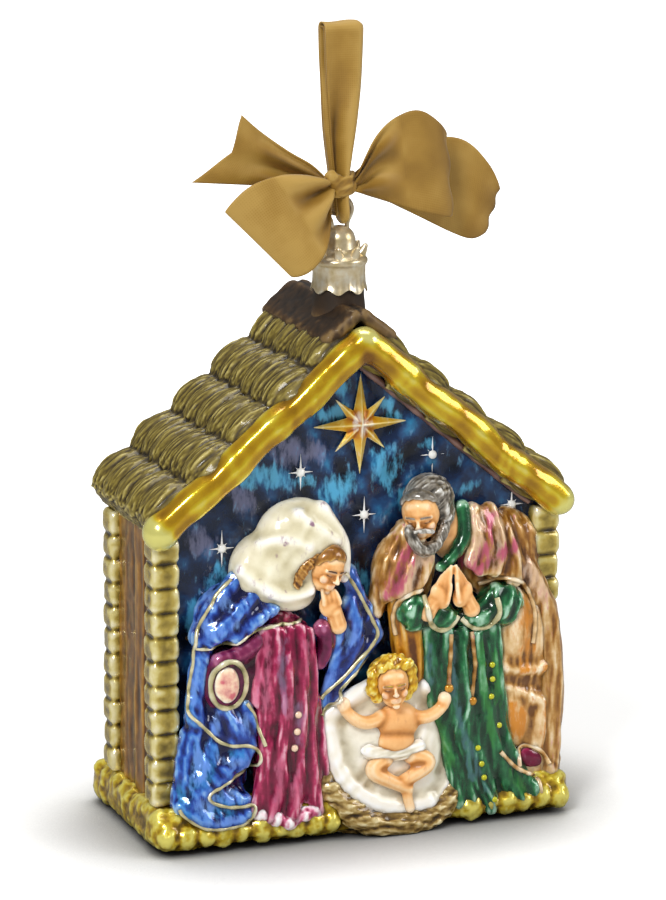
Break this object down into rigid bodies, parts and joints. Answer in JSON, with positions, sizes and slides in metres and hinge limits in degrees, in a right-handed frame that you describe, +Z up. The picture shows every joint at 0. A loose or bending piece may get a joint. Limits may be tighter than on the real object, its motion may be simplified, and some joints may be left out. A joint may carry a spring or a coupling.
{
  "type": "holy family ornament",
  "caption": "Mould-blown glass stable ornament with painted relief figures, a crown cap on its neck, a hanging ribbon and a tied bow.",
  "frame": {"origin": "centre of the base's underside, between the outer faces of the four corner posts", "axes": "+X to the viewer's right, +Y from the relief front to the plain back, +Z up"},
  "size_m": [0.0946, 0.0472, 0.1663],
  "materials": {
    "lacquered_glass": "glossy lacquer over silvered glass, opaque",
    "champagne_metal": "polished pale gold plate",
    "spring_wire": "polished pale gold wire",
    "gold_ribbon": "satin weave"
  },
  "bodies": {
    "root": {"glass_body": "lacquered_glass", "cap": "champagne_metal", "wire_hanger": "spring_wire", "hanging_ribbon": "gold_ribbon", "bow_ribbon": "gold_ribbon"}
  },
  "joints": []
}
